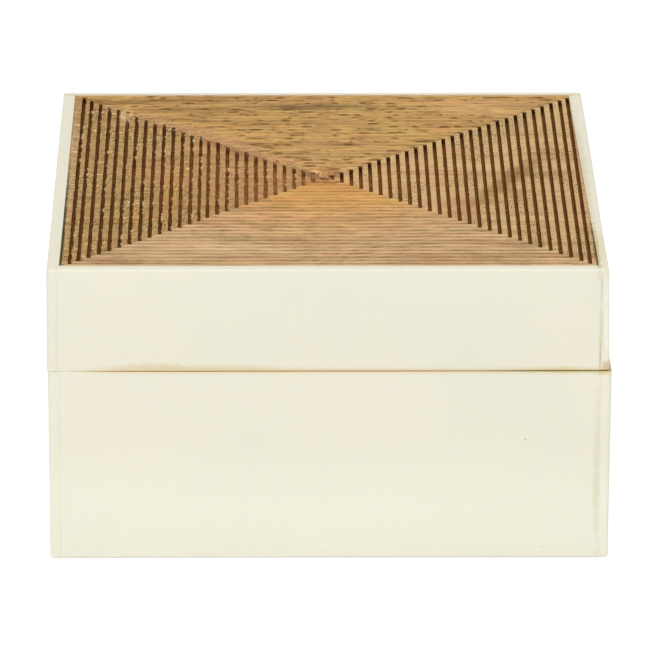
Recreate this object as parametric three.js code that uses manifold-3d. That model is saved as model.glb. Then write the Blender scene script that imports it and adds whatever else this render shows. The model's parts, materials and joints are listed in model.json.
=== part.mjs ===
// A square keepsake box with a hinged lid, in millimetres, +Z up, its front facing -Y.
// Fibreboard walls are clad in cream resin sheets. The lid's top is a carved wooden panel:
// square grooves one inside another, which read as four triangles that meet at the centre.
// The back edges are bevelled at the seam, so the lid stops by itself just past upright.
import * as THREE from "three";
import { mergeVertices } from "three/addons/utils/BufferGeometryUtils.js";
import Module from "manifold-3d";

// The whole box. The lid sits a little to the left of the base.
const WIDTH = 203;
const HEIGHT = 112;
const SEAM_Z = 73;
const SEAM_GAP = 0.5;
const LID_OFFSET = 0.5;

// The layers of a wall, from outside to inside
const SHEET = 4;
const WALL = 6;
const LINING = 1;
const SHEET_CORNER_RADIUS = 1.25;
const CORNER_STEPS = 3;

// Floor and top boards, let into rebates in the walls
const BOARD = 6;
const REBATE = 2.5;
const LINING_SHORT_OF_SEAM = 2;
const FOOT_FELT = 1.5;
const FOOT_FELT_PROUD = 0.5;
const FOOT_FELT_INSET = 6;

// The carved panel
const PANEL = 6;
const PANEL_CLEARANCE = 0.25;
const GROOVE_COUNT = 27;
const GROOVE_WIDTH = 1.5;
const GROOVE_DEPTH = 2.25;

// The hinges, let into the seam edges of the back walls
const OPEN_LIMIT_DEG = 95;
const BEVEL_SPARE_DEG = 1;
const AXIS_INSET = 2;
const HINGE_X = 62;
const HINGE_LENGTH = 25;
const LEAF = 1;
const LEAF_CLEARANCE = 0.25;
const KNUCKLE_RADIUS = 1.6;
const KNUCKLE_GAP = 0.2;
const KNUCKLE_RELIEF = 0.3;
const PIN_RADIUS = 0.8;
const PIN_CLEARANCE = 0.1;
const PIN_HEAD_RADIUS = 1.2;
const PIN_HEAD_LENGTH = 0.5;
const ROUND_SIDES = 24;

// The hinge screws
const SCREW_SPREAD = 7.5;
const SCREW_HEAD_RADIUS = 1.9;
const SCREW_SHANK_RADIUS = 1;
const SCREW_LENGTH = 9;
const SCREW_POINT = 2;
const SCREW_SUNK = 0.05;
const SCREW_CLEARANCE = 0.15;
const SCREW_SLOT_WIDTH = 0.5;
const SCREW_SLOT_DEPTH = 0.4;
const SCREW_SIDES = 16;

// Places worked out from the sizes above. The hinge's own are measured from its axis.
const OUTER = WIDTH / 2;
const SHEET_INSIDE = OUTER - SHEET;
const INNER = SHEET_INSIDE - WALL;
const BOARD_EDGE = INNER + REBATE;
const BASE_TOP = SEAM_Z - SEAM_GAP / 2;
const LID_BOTTOM = SEAM_Z + SEAM_GAP / 2;
const PANEL_BOTTOM = HEIGHT - PANEL;
const TOP_BOARD_BOTTOM = PANEL_BOTTOM - BOARD;
const AXIS_Y = OUTER - AXIS_INSET;
const LEAF_WIDTH = AXIS_Y - INNER;
const LEAF_TOP = -SEAM_GAP / 2;
const LEAF_BOTTOM = LEAF_TOP - LEAF;
const SCREW_TOP = LEAF_TOP - SCREW_SUNK;
const SCREW_Y = (SHEET_INSIDE + INNER) / 2 - AXIS_Y;
const OVERRUN = 10;

const wasm = await Module();
wasm.setup();

const resin = new THREE.MeshStandardMaterial({ color: 0xf0ead6, roughness: 0.35 });
const wood = new THREE.MeshStandardMaterial({ color: 0xb98f56, roughness: 0.7 });
const fibreboard = new THREE.MeshStandardMaterial({ color: 0xa87f55, roughness: 0.85 });
const felt = new THREE.MeshStandardMaterial({ color: 0x1d1b1a, roughness: 1 });
const brass = new THREE.MeshStandardMaterial({ color: 0xc29a4b, roughness: 0.35, metalness: 1 });

// A closed geometry as a solid that can be joined and cut.
function solidOf(geometry) {
  const bare = geometry.clone();
  bare.deleteAttribute("normal");
  bare.deleteAttribute("uv");
  const merged = mergeVertices(bare, 1e-4);
  return new wasm.Manifold(
    new wasm.Mesh({
      numProp: 3,
      vertProperties: merged.attributes.position.array,
      triVerts: new Uint32Array(merged.index.array),
    }),
  );
}

// A solid's faces as a geometry for a mesh.
function geometryOf(solid) {
  const mesh = solid.getMesh();
  const geometry = new THREE.BufferGeometry();
  geometry.setAttribute("position", new THREE.BufferAttribute(mesh.vertProperties, 3));
  geometry.setIndex(new THREE.BufferAttribute(mesh.triVerts, 1));
  geometry.computeVertexNormals();
  return geometry;
}

function join(first, ...others) {
  return geometryOf(others.reduce((whole, next) => whole.add(solidOf(next)), solidOf(first)));
}

function cut(geometry, ...cutters) {
  return geometryOf(cutters.reduce((left, next) => left.subtract(solidOf(next)), solidOf(geometry)));
}

// A block between two opposite corners.
function block([x0, y0, z0], [x1, y1, z1]) {
  const size = [x1 - x0, y1 - y0, z1 - z0].map(Math.abs);
  return new THREE.BoxGeometry(...size).translate((x0 + x1) / 2, (y0 + y1) / 2, (z0 + z1) / 2);
}

// A flat square layer, such as a board or a lining.
function layer(half, bottom, thickness) {
  return block([-half, -half, bottom], [half, half, bottom + thickness]);
}

// A solid of revolution about Z. The profile's points are (radius, height), from the axis at
// the bottom, outwards and back to the axis at the top.
function turned(profile, sides, startAngle = 0) {
  const points = profile.map(([radius, height]) => new THREE.Vector2(radius, height));
  return new THREE.LatheGeometry(points, sides, startAngle).rotateX(Math.PI / 2);
}

// A round bar along X.
function roundBar(radius, from, to) {
  const bar = new THREE.CylinderGeometry(radius, radius, to - from, ROUND_SIDES);
  return bar.rotateZ(Math.PI / 2).translate((from + to) / 2, 0, 0);
}

function node(name, geometry, material) {
  const mesh = new THREE.Mesh(geometry, material);
  mesh.name = name;
  return mesh;
}

// The long wedge that bevels both back edges at the seam. Its sharp edge is the hinge axis.
function bevelCutter() {
  const halfAngle = THREE.MathUtils.degToRad((OPEN_LIMIT_DEG + BEVEL_SPARE_DEG) / 2);
  const rise = OVERRUN * Math.tan(halfAngle);
  const wedge = new THREE.Shape();
  wedge.moveTo(AXIS_Y, SEAM_Z);
  wedge.lineTo(AXIS_Y + OVERRUN, SEAM_Z - rise);
  wedge.lineTo(AXIS_Y + OVERRUN, SEAM_Z + rise);
  const length = WIDTH + 2 * OVERRUN;
  const prism = new THREE.ExtrudeGeometry(wedge, { depth: length, bevelEnabled: false });
  // The shape's x, y and depth become Y, Z and X.
  prism.applyMatrix4(new THREE.Matrix4().set(0, 0, 1, 0, 1, 0, 0, 0, 0, 1, 0, 0, 0, 0, 0, 1));
  return prism.translate(-length / 2, 0, 0);
}

// A countersunk screw's profile from its tip up to the rim of its head, grown all round by the
// given amount for the hole that takes it.
function screwProfile(grown) {
  const tip = SCREW_TOP - SCREW_LENGTH - grown;
  const shank = SCREW_SHANK_RADIUS + grown;
  const shoulder = SCREW_TOP - SCREW_HEAD_RADIUS + SCREW_SHANK_RADIUS;
  return [[0, tip], [shank, tip + SCREW_POINT], [shank, shoulder], [SCREW_HEAD_RADIUS + grown, SCREW_TOP]];
}

// The holes for a leaf's two screws, open at the height of the hinge axis.
function screwHoles() {
  const profile = screwProfile(SCREW_CLEARANCE);
  profile.push([SCREW_HEAD_RADIUS + SCREW_CLEARANCE, 0], [0, 0]);
  return [-SCREW_SPREAD, SCREW_SPREAD].map((x) => turned(profile, SCREW_SIDES).translate(x, SCREW_Y, 0));
}

// What one hinge takes out of the base's back wall: a mortise for the leaf, a relief round the
// knuckles and the pin's heads, and the screw holes.
function hingeRoom() {
  const half = HINGE_LENGTH / 2 + LEAF_CLEARANCE;
  const mortise = block([-half, -LEAF_WIDTH - OVERRUN, LEAF_BOTTOM], [half, 0, OVERRUN]);
  const reliefHalf = HINGE_LENGTH / 2 + 2 * PIN_HEAD_LENGTH;
  const relief = roundBar(KNUCKLE_RADIUS + KNUCKLE_RELIEF, -reliefHalf, reliefHalf);
  return [mortise, relief, ...screwHoles()];
}

// The room of both hinges, in place. The lid's is the base's turned over.
function hingesRoom(part) {
  return [-HINGE_X, HINGE_X].flatMap((x) =>
    hingeRoom().map((piece) => piece.rotateY(part === "lid" ? Math.PI : 0).translate(x, AXIS_Y, SEAM_Z)),
  );
}

// The fibreboard walls of the base or the lid. The front and back run the full width, and
// rebates in their ends take the sides. All four are rebated for the floor or top board.
function walls(part, bottom, top, boardBottom, shift) {
  const boardSlot = layer(BOARD_EDGE, boardBottom, BOARD);
  const endRebates = [-1, 1].map((side) =>
    block([side * INNER, -BOARD_EDGE, bottom - OVERRUN], [side * OUTER, BOARD_EDGE, top + OVERRUN]),
  );
  const across = (side) => {
    const wall = block([-SHEET_INSIDE, side * INNER, bottom], [SHEET_INSIDE, side * SHEET_INSIDE, top]);
    return cut(wall, boardSlot, ...endRebates).translate(shift, 0, 0);
  };
  const along = (side) => {
    const wall = block([side * INNER, -BOARD_EDGE, bottom], [side * SHEET_INSIDE, BOARD_EDGE, top]);
    return cut(wall, boardSlot).translate(shift, 0, 0);
  };
  return [
    node(`${part}_front_wall`, across(-1), fibreboard),
    node(`${part}_back_wall`, cut(across(1), ...hingesRoom(part)), fibreboard),
    node(`${part}_left_wall`, along(-1), fibreboard),
    node(`${part}_right_wall`, along(1), fibreboard),
  ];
}

// The right-hand resin sheet. Its ends cover those of the front and back sheets, and its outer
// upright edges are rounded over.
function rightSheet(bottom, top) {
  const r = SHEET_CORNER_RADIUS;
  const plan = new THREE.Shape();
  plan.moveTo(SHEET_INSIDE, -OUTER);
  plan.lineTo(OUTER - r, -OUTER);
  plan.absarc(OUTER - r, -OUTER + r, r, -Math.PI / 2, 0, false);
  plan.absarc(OUTER - r, OUTER - r, r, 0, Math.PI / 2, false);
  plan.lineTo(SHEET_INSIDE, OUTER);
  const settings = { depth: top - bottom, bevelEnabled: false, curveSegments: CORNER_STEPS };
  return new THREE.ExtrudeGeometry(plan, settings).translate(0, 0, bottom);
}

// The four resin sheets of the base or the lid.
function sheets(part, bottom, top, shift) {
  const across = (side) => {
    const sheet = block([-SHEET_INSIDE, side * SHEET_INSIDE, bottom], [SHEET_INSIDE, side * OUTER, top]);
    return sheet.translate(shift, 0, 0);
  };
  const left = cut(rightSheet(bottom, top).rotateZ(Math.PI), bevelCutter());
  const right = cut(rightSheet(bottom, top), bevelCutter());
  return [
    node(`${part}_front_sheet`, across(-1), resin),
    node(`${part}_back_sheet`, cut(across(1), bevelCutter(), ...hingesRoom(part)), resin),
    node(`${part}_left_sheet`, left.translate(shift, 0, 0), resin),
    node(`${part}_right_sheet`, right.translate(shift, 0, 0), resin),
  ];
}

// The felt strip round the inside of the walls.
function wallLining(bottom, top) {
  const inside = layer(INNER - LINING, bottom - OVERRUN, top - bottom + 2 * OVERRUN);
  return cut(layer(INNER, bottom, top - bottom), inside);
}

// The carved panel is a profile turned in four sides, so each groove runs round as a square.
function carvedPanel() {
  const half = SHEET_INSIDE - PANEL_CLEARANCE;
  const pitch = half / (GROOVE_COUNT + 0.5);
  const grooveFloor = HEIGHT - GROOVE_DEPTH;
  const profile = [[0, PANEL_BOTTOM], [half, PANEL_BOTTOM], [half, HEIGHT]];
  for (let ring = 1; ring <= GROOVE_COUNT; ring += 1) {
    const outside = half - ring * pitch + GROOVE_WIDTH / 2;
    const inside = outside - GROOVE_WIDTH;
    profile.push([outside, HEIGHT], [outside, grooveFloor], [inside, grooveFloor], [inside, HEIGHT]);
  }
  profile.push([0, HEIGHT]);
  const toCorners = profile.map(([distance, height]) => [distance * Math.SQRT2, height]);
  return turned(toCorners, 4, Math.PI / 4);
}

// A leaf of the base's kind. Its plate lies below the axis and reaches inwards, and its
// knuckles take the given stretches of the barrel.
function hingeLeaf(stretches) {
  const half = HINGE_LENGTH / 2;
  const plateEnd = -KNUCKLE_RADIUS - KNUCKLE_RELIEF;
  const plate = block([-half, -LEAF_WIDTH, LEAF_BOTTOM], [half, plateEnd, LEAF_TOP]);
  const knuckles = stretches.flatMap(([from, to]) => [
    block([from, 2 * plateEnd, LEAF_BOTTOM], [to, 0, LEAF_TOP]),
    roundBar(KNUCKLE_RADIUS, from, to),
  ]);
  const pinHole = roundBar(PIN_RADIUS + PIN_CLEARANCE, -HINGE_LENGTH, HINGE_LENGTH);
  return cut(join(plate, ...knuckles), pinHole, ...screwHoles());
}

// A screw with a slotted head.
function screw() {
  const body = turned([...screwProfile(0), [0, SCREW_TOP]], SCREW_SIDES);
  const half = SCREW_SLOT_WIDTH / 2;
  return cut(body, block([-OVERRUN, -half, SCREW_TOP - SCREW_SLOT_DEPTH], [OVERRUN, half, OVERRUN]));
}

// A hinge pin along X, with a low head at each end that keeps it in the barrel.
function hingePin() {
  const neck = HINGE_LENGTH / 2 + PIN_CLEARANCE;
  const headRim = neck + PIN_HEAD_LENGTH / 2;
  const end = neck + PIN_HEAD_LENGTH;
  const profile = [
    [0, -end],
    [PIN_RADIUS, -end],
    [PIN_HEAD_RADIUS, -headRim],
    [PIN_HEAD_RADIUS, -neck],
    [PIN_RADIUS, -neck],
    [PIN_RADIUS, neck],
    [PIN_HEAD_RADIUS, neck],
    [PIN_HEAD_RADIUS, headRim],
    [PIN_RADIUS, end],
    [0, end],
  ];
  return turned(profile, ROUND_SIDES).rotateY(Math.PI / 2);
}

// One hinge. The base's leaf has the outer knuckles and holds the pin, and the lid's leaf has
// the middle one. The lid's pieces are the base's kind turned over.
function hinge(name, x) {
  const half = HINGE_LENGTH / 2;
  const middle = HINGE_LENGTH / 6;
  const outerKnuckles = [[-half, -middle - KNUCKLE_GAP], [middle + KNUCKLE_GAP, half]];
  const baseHalf = new THREE.Group();
  const lidHalf = new THREE.Group();
  baseHalf.add(node(`${name}_hinge_base_leaf`, hingeLeaf(outerKnuckles), brass));
  baseHalf.add(node(`${name}_hinge_pin`, hingePin(), brass));
  lidHalf.add(node(`${name}_hinge_lid_leaf`, hingeLeaf([[-middle, middle]]), brass));
  lidHalf.rotation.y = Math.PI;
  for (const [part, group] of [["base", baseHalf], ["lid", lidHalf]]) {
    [-SCREW_SPREAD, SCREW_SPREAD].forEach((dx, index) => {
      const piece = node(`${name}_hinge_${part}_screw_${index + 1}`, screw(), brass);
      piece.position.set(dx, SCREW_Y, 0);
      group.add(piece);
    });
    group.position.set(x, AXIS_Y, SEAM_Z);
  }
  return [baseHalf, lidHalf];
}

const base = new THREE.Group();
const baseX = LID_OFFSET / 2;
const floorTop = FOOT_FELT + BOARD;
const baseLayers = [
  node("base_floor_board", layer(BOARD_EDGE, FOOT_FELT, BOARD), fibreboard),
  node("base_floor_lining", layer(INNER, floorTop, LINING), felt),
  node("base_wall_lining", wallLining(floorTop + LINING, BASE_TOP - LINING_SHORT_OF_SEAM), felt),
  node("base_foot_felt", layer(OUTER - FOOT_FELT_INSET, 0, FOOT_FELT), felt),
];
baseLayers.forEach((piece) => piece.geometry.translate(baseX, 0, 0));
base.add(...walls("base", FOOT_FELT, BASE_TOP, FOOT_FELT, baseX));
base.add(...sheets("base", FOOT_FELT_PROUD, BASE_TOP, baseX), ...baseLayers);

const lid = new THREE.Group();
const lidX = -LID_OFFSET / 2;
const lidLiningBottom = TOP_BOARD_BOTTOM - LINING;
const lidLayers = [
  node("lid_top_board", layer(BOARD_EDGE, TOP_BOARD_BOTTOM, BOARD), fibreboard),
  node("lid_top_lining", layer(INNER, lidLiningBottom, LINING), felt),
  node("lid_wall_lining", wallLining(LID_BOTTOM + LINING_SHORT_OF_SEAM, lidLiningBottom), felt),
  node("lid_carved_panel", carvedPanel(), wood),
];
lidLayers.forEach((piece) => piece.geometry.translate(lidX, 0, 0));
lid.add(...walls("lid", LID_BOTTOM, PANEL_BOTTOM, TOP_BOARD_BOTTOM, lidX));
lid.add(...sheets("lid", LID_BOTTOM, HEIGHT, lidX), ...lidLayers);

const box = new THREE.Group();
box.add(base, lid, ...hinge("left", -HINGE_X), ...hinge("right", HINGE_X));

export default box;
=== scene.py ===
"""The looks of a square keepsake box: cream resin sheets, a carved mango wood lid and a felt lining."""

import json
import math

import bmesh
import bpy
import numpy as np
from mathutils import Matrix, Vector

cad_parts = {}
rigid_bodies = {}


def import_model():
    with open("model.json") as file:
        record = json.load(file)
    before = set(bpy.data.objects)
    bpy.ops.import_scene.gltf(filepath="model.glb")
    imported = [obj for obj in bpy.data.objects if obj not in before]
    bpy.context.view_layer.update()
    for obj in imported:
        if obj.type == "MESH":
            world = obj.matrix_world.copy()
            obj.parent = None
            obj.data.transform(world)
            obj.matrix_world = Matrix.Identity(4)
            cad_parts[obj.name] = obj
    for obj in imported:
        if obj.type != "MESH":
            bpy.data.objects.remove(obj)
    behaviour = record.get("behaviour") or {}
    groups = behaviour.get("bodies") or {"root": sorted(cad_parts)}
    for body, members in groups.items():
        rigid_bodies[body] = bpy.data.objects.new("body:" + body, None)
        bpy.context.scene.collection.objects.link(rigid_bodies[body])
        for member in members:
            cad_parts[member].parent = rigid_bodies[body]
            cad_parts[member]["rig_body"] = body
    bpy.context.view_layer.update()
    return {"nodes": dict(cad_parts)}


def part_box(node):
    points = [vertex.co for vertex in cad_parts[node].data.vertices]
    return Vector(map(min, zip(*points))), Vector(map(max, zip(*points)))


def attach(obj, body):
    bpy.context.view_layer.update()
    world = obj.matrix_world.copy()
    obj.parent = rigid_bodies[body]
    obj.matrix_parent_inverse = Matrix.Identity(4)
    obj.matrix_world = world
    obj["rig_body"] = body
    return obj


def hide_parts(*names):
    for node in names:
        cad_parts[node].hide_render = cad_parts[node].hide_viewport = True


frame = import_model()

# Shapes are worked out in millimetres. A mesh and everything else in the scene is in metres.
MM = 0.001


def box(node):
    """A CAD node's lowest and highest corners in millimetres."""
    return [np.array(corner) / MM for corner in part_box(node)]


# The carving as it is on the real board, counted from the centre outwards
GROOVE_COUNT = 27
GROOVE_PITCH = 3.585
FIRST_GROOVE = 1.89
OUTERMOST_GROOVE = 94.55
GROOVE_WIDTH = 1.5
GROOVE_DEPTH = 2.25
WALL_LEAN = 0.1
RIB_SHOULDER = 0.3
GROOVE_ARRIS = 0.05
# How deep the middle of the carving and the board's rim lie
CENTRE_DEPTH = 0.3
RIM_DEPTH = 0.08
PANEL_LOW, PANEL_HIGH = box("lid_carved_panel")
PANEL_HALF = (PANEL_HIGH[0] - PANEL_LOW[0]) / 2
PANEL_CENTRE = np.array([(PANEL_HIGH[0] + PANEL_LOW[0]) / 2, 0])
PANEL_TOP = PANEL_HIGH[2]
CARVING_CENTRE = PANEL_CENTRE + np.array([0.65, -0.5])
# How far out the ribs have their outer colours, the length over which the grain wanders, and how
# far apart in the noise one ring is from the next
FAR_OUT = 75
WANDER_LENGTH = 70
RINGS_APART = 7.3

# How far the carver's lines lie off their even places along X. On the left they are further in by
# two steps, each between two places. On the right it is a share of x that grows to the front.
LEFT_STEPS = ((0.3, 0, -20), (0.8, -44, -51))
RIGHT_DRIFT = 0.45
RIGHT_DRIFT_GROWTH = 0.0062
RIGHT_DRIFT_LENGTH = 70

# Where the wood has broken out, from the carving's centre: a strip behind the left diagonal, and
# discs with the place of their middle and their half lengths
STRIP_BEHIND = 1.3
STRIP_WHOLE = 1.6
STRIP_GONE = 3.8
FAR_PATCH = (-78, 76, 2.8, 6.5)
CLOSED_GROOVE = (-79, 70, 1.5, 9)
SMALLEST_RINGS = (-2, 1, 9, 8)

# The seam between base and lid. The resin sheets come closer there than the boards behind them.
# At the left of the front they all but touch. The gap widens, and at the right the lid's edge
# rises, each between two places along X.
SEAM_Z = 73.0
SEAM_LEAST_GAP = 0.015
SEAM_WIDER = 0.075
WIDER_BETWEEN = (-95, -75)
SEAM_RISE = 0.1
RISE_BETWEEN = (50, 75)
SEAM_UNEVEN = 0.02
SIDE_SEAM_FROM = 80.0
# How much the lid's right sheet is sanded short at the front end of its lower edge, and how far
# from that end this starts and how far it is whole
SHORT_END = 0.2
SHORT_WITHIN = np.array([9, 4])
GLUE_LINE_Z = SEAM_Z + 0.15
HINGE_AXIS_Y = 99.5
BACK_BEVEL = math.tan(math.radians(48))
FRONT_FACE_Y = box("lid_front_sheet")[0][1]
BACK_FACE_Y = box("lid_back_sheet")[1][1]
SIDES = ("front", "back", "left", "right")

# The lid's side sheets were poured over the board's edge by so much, on the right less to the front
LEFT_LIP = 0.8
RIGHT_LIP = (0.63, 1.07)
NO_LIP = 0.02
BOARD_CLEARANCE = box("lid_right_sheet")[0][0] - PANEL_HIGH[0]
OPEN_JOINT = 0.08
LIP_FOOT = PANEL_LOW[2] + 0.1
LIP_END = (97.3, 97.45)
# How much the lid's side sheets are sanded down at their upper edge, at the back and at the
# front, between which places along Y it changes, and its share at their lower edge
SANDED_LEFT = (0.3, 0.5)
SANDED_RIGHT = (0.3, 1.2)
SANDED_BETWEEN = (80, -90)
SANDED_BELOW = 0.3
# A step along a resin sheet's length
SHEET_STEP = 1.5

# Radii of edges that were eased by sanding
TOP_EDGE = 0.8
FOOT_EDGE = 0.4
SEAM_EDGE = 0.25
HIDDEN_EDGE = 0.1
LIP_EDGE = 0.15
OUTER_CORNER = 1.25
BACK_SHEET_EDGE = 0.2
BOARD_EDGE = 0.15
LEAF_EDGE = 0.08
TURNED_EDGE = 0.05

# The felt strips' thickness, the bend at their corners and how far apart their ends stand, and
# for every felt sheet how deep its fluff is, how long its tufts are, and a step of its grid
STRIP_THICKNESS = 1.0
STRIP_BEND = 1.5
STRIP_ENDS_APART = 0.2
FLUFF = 0.06
TUFT = 2.2
FELT_STEP = 1.6

# The camera, fitted to the box's corners in the photograph. Its distance and its target are in
# metres, and its lens is in millimetres.
CAMERA_DISTANCE = 2.1
CAMERA_AZIMUTH = math.radians(-0.826)
CAMERA_ELEVATION = math.radians(20.615)
CAMERA_ROLL = math.radians(0.225)
CAMERA_TARGET = (0.001654, 0, 0.05069)
CAMERA_LENS = 302.93

# The light: a colour renders about as it is written. The floor's half length is in metres.
WORLD_LIGHT = 0.47
FLOOR_GLOW = 0.45
FLOOR_HALF = 2.4
BOX_MIDDLE = (0, 0, 0.05)


def smoothstep(low, high, value):
    """Zero at low, one at high, and the cubic 3t squared less 2t cubed between them."""
    t = np.clip((value - low) / (high - low), 0, 1)
    return t * t * (3 - 2 * t)


def lip_over(x, y):
    """How far the lid's left or right sheet lips over the board at a place, in millimetres."""
    front, back = RIGHT_LIP
    return np.where(x < 0, LEFT_LIP, front + (back - front) * smoothstep(-100, 60, y))


def noise(x, y, seed):
    """Smooth random heights from -1 to 1. Random numbers stand on a unit grid, and between them
    the height is blended both ways by the quintic 6t^5 - 15t^4 + 10t^3."""
    table = np.random.default_rng(seed).uniform(-1, 1, (256, 256))
    x, y = np.broadcast_arrays(x, y)
    i, j = np.floor(x).astype(int), np.floor(y).astype(int)
    tx, ty = x - i, y - j
    tx = tx**3 * (tx * (tx * 6 - 15) + 10)
    ty = ty**3 * (ty * (ty * 6 - 15) + 10)
    i0, i1, j0, j1 = i % 256, (i + 1) % 256, j % 256, (j + 1) % 256
    near = table[i0, j0] * (1 - tx) + table[i1, j0] * tx
    far = table[i0, j1] * (1 - tx) + table[i1, j1] * tx
    return near * (1 - ty) + far * ty


def rough(x, y, seed, octaves=3):
    """Noise in octaves, each half as high and twice as fine as the one before."""
    total = sum(noise(x * 2**k, y * 2**k, seed + k) / 2**k for k in range(octaves))
    return total / (2 - 2 ** (1 - octaves))


def drawn_in(place, low, high, radius):
    """How far a face is drawn in near its rounded ends: by a quarter circle of this radius."""
    to_end = np.clip(np.minimum(place - low, high - place), 0, radius)
    return radius - np.sqrt(np.maximum(radius**2 - (radius - to_end) ** 2, 0))


def grid_quads(rows, columns, start=0, closed=False):
    """The quads between the points of a grid whose rows follow one another in the mesh. A closed
    grid joins its last column to its first."""
    index = start + np.arange(rows * columns).reshape(rows, columns)
    if closed:
        index = np.concatenate([index, index[:, :1]], axis=1)
    quads = [index[:-1, :-1], index[1:, :-1], index[1:, 1:], index[:-1, 1:]]
    return np.stack(quads, -1).reshape(-1, 4)


def new_object(name, data):
    """Puts an object with this mesh, lamp or camera into the scene."""
    added = bpy.data.objects.new(name, data)
    bpy.context.scene.collection.objects.link(added)
    return added


def mesh_object(name, points, faces, material, sharpest_degrees, attributes=()):
    """An object from points in millimetres and from arrays of faces, a row of corners to a face.
    Points that lie together are joined, every face is turned outwards, and edges blunter than
    the given angle are shaded smooth."""
    mesh = bpy.data.meshes.new(name)
    corners = np.concatenate([np.ravel(part) for part in faces]).astype(np.int32)
    sizes = np.concatenate([np.full(len(part), part.shape[1]) for part in faces])
    mesh.vertices.add(len(points))
    mesh.vertices.foreach_set("co", (np.asarray(points) * MM).astype(np.float32).ravel())
    mesh.loops.add(len(corners))
    mesh.loops.foreach_set("vertex_index", corners)
    mesh.polygons.add(len(sizes))
    mesh.polygons.foreach_set("loop_start", (np.cumsum(sizes) - sizes).astype(np.int32))
    mesh.update(calc_edges=True)
    for attribute_name, values in attributes:
        attribute = mesh.attributes.new(attribute_name, "FLOAT", "POINT")
        attribute.data.foreach_set("value", values.astype(np.float32).ravel())
    mesh.materials.append(material)
    tidy_mesh(mesh, sharpest_degrees)
    return new_object(name, mesh)


def tidy_mesh(mesh, sharpest_degrees, joined_within=0.001 * MM):
    """Joins points that lie together, turns the faces outwards, so that the mesh encloses a
    positive volume, and shades blunt edges smooth."""
    work = bmesh.new()
    work.from_mesh(mesh)
    bmesh.ops.remove_doubles(work, verts=work.verts, dist=joined_within)
    bmesh.ops.dissolve_degenerate(work, edges=work.edges, dist=joined_within)
    bmesh.ops.recalc_face_normals(work, faces=work.faces)
    if work.calc_volume(signed=True) < 0:
        bmesh.ops.reverse_faces(work, faces=work.faces)
    for face in work.faces:
        face.smooth = True
    for edge in work.edges:
        edge.smooth = edge.calc_face_angle(0) < math.radians(sharpest_degrees)
    work.to_mesh(mesh)
    work.free()


def stand_for(piece, node):
    """The piece rides on the node's body and replaces the node, which is hidden."""
    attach(piece, frame["nodes"][node]["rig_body"])
    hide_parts(node)


def linear(hex_colour):
    """An sRGB hex colour as linear red, green, blue and an alpha of one."""
    channels = [int(hex_colour[i : i + 2], 16) / 255 for i in (1, 3, 5)]
    return [c / 12.92 if c <= 0.04045 else ((c + 0.055) / 1.055) ** 2.4 for c in channels] + [1.0]


def add(tree, kind, inputs, **settings):
    """Adds a node with these settings and returns its outputs. An input is keyed by its name or
    number, and is linked where it is given another node's output. Otherwise it gets a value, or
    a hex colour turned to linear."""
    node = tree.nodes.new(kind)
    for key, value in settings.items():
        setattr(node, key, value)
    for key, value in inputs.items():
        if isinstance(value, bpy.types.NodeSocket):
            tree.links.new(value, node.inputs[key])
        else:
            node.inputs[key].default_value = linear(value) if isinstance(value, str) else value
    return node.outputs


def new_material(name, sizes=(), wander=0.0):
    """A material with its node tree, its Object coordinates in millimetres, and its patterns. A
    pattern is noise whose features are about as long along X, Y and Z, in millimetres, as its
    size says, after a turn about Z in degrees. The grain wanders this many millimetres along Y."""
    material = bpy.data.materials.new(name)
    material.use_nodes = True
    tree = material.node_tree
    tree.nodes.clear()
    place = add(tree, "ShaderNodeTexCoord", {})["Object"]
    place = add(tree, "ShaderNodeVectorMath", {0: place, "Scale": 1 / MM}, operation="SCALE")[0]
    grain = place
    if wander:
        shift = {"Vector": place, "Scale": 1 / WANDER_LENGTH, "Detail": 1.0}
        shift = {0: add(tree, "ShaderNodeTexNoise", shift)["Color"], 1: (0, wander, 0), 2: place}
        grain = add(tree, "ShaderNodeVectorMath", shift, operation="MULTIPLY_ADD")[0]
    pattern = {}
    for what, (size, turn, detail) in dict(sizes).items():
        turned = {"Vector": grain, "Rotation": (0, 0, math.radians(turn)), "Scale": size}
        turned = add(tree, "ShaderNodeMapping", turned, vector_type="TEXTURE")[0]
        inputs = {"Vector": turned, "Scale": 1.0, "Detail": detail}
        pattern[what] = add(tree, "ShaderNodeTexNoise", inputs)["Fac"]
    return material, tree, place, pattern


def lay_over(tree, colour, hue, value, low, high, cover=1.0, **settings):
    """Lays a hue over a colour: not at all where the value is low and by the cover where it is
    high, and evenly more between them, or as the settings say."""
    share = {"Value": value, "From Min": low, "From Max": high, "To Max": cover}
    share = add(tree, "ShaderNodeMapRange", share, **settings)[0]
    return add(tree, "ShaderNodeMix", {0: share, 6: colour, 7: hue}, data_type="RGBA")[2]


def lay_marks(tree, place, colour, marks):
    """Lays soft marks over a colour: each has its own colour, how much it covers at its middle,
    its centre and half lengths in millimetres, and a turn about Z in degrees. It fades by the
    distance from its centre, with a ragged edge from noise."""
    edge = add(tree, "ShaderNodeTexNoise", {"Vector": place, "Scale": 0.35, "Detail": 3.0})["Fac"]
    for hue, cover, centre, half, turn in marks:
        turned = {"Vector": place, "Location": centre, "Rotation": (0, 0, math.radians(turn)), "Scale": half}
        turned = add(tree, "ShaderNodeMapping", turned, vector_type="TEXTURE")[0]
        distance = add(tree, "ShaderNodeVectorMath", {0: turned}, operation="LENGTH")["Value"]
        distance = add(tree, "ShaderNodeMath", {0: distance, 1: edge}, operation="ADD")[0]
        fade = {"Value": distance, "From Min": 0.7, "From Max": 1.5, "To Min": cover, "To Max": 0.0}
        share = add(tree, "ShaderNodeMapRange", fade, interpolation_type="SMOOTHSTEP")[0]
        colour = add(tree, "ShaderNodeMix", {0: share, 6: colour, 7: hue}, data_type="RGBA")[2]
    return colour


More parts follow.
